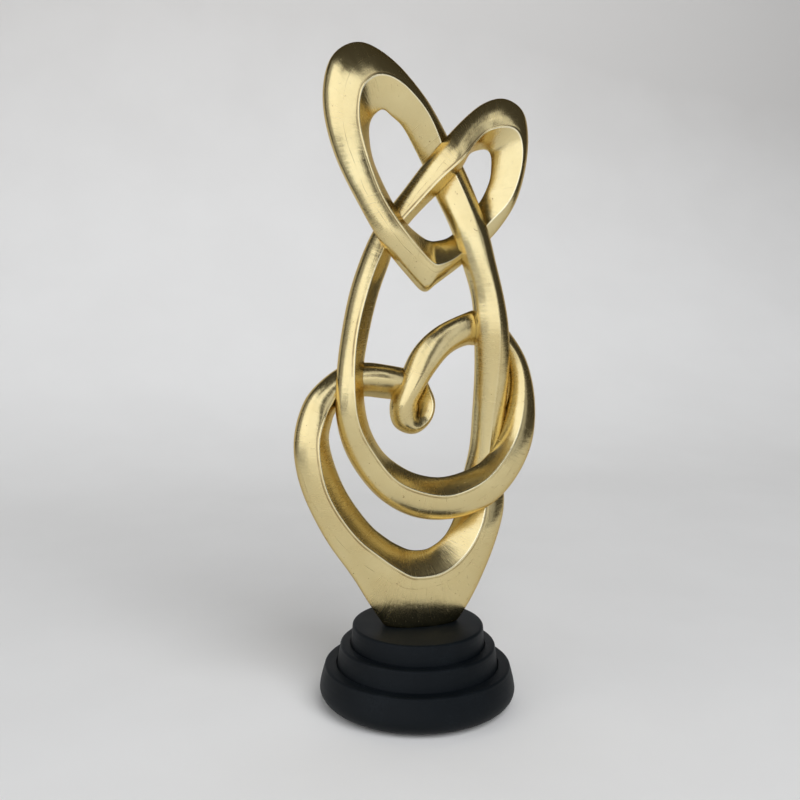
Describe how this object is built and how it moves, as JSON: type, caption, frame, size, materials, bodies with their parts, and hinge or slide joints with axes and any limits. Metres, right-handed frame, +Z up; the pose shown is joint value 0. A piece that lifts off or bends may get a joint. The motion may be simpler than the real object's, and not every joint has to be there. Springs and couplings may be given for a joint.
{
  "type": "heart sculpture",
  "caption": "Table-top ornament: one gilded ribbon woven into an upper and a lower open heart, standing on a stepped round black plinth with a felt underside.",
  "frame": {"origin": "on the plinth's axis, on the underside of the felt pad", "axes": "+Z up; the figure lies along the XZ plane and its front looks along -Y; +X is to the right seen from the front"},
  "size_m": [0.1485, 0.12, 0.3927],
  "materials": {
    "gilding": "imitation gold leaf over cast resin, softly mirror-bright with fine leaf wrinkles",
    "black_lacquer": "turned wood under satin black lacquer",
    "steel": "plain zinc-plated steel",
    "felt": "dark pressed felt"
  },
  "bodies": {
    "root": {"felt_pad": "felt", "plinth_lower_disc": "black_lacquer", "plinth_middle_disc": "black_lacquer", "plinth_upper_disc": "black_lacquer", "stud": "steel", "washer": "steel", "nut": "steel", "turn_pin": "steel", "foot_casting": "gilding", "link_bar": "gilding", "scroll": "gilding", "cradle": "gilding", "heart_right": "gilding", "heart_left": "gilding", "stem": "gilding", "scroll_dowel": "steel", "cradle_dowel": "steel", "tip_dowel": "steel", "stem_dowel": "steel", "leg_dowel": "steel", "lobe_dowel": "steel", "bar_dowel": "steel"}
  },
  "joints": []
}
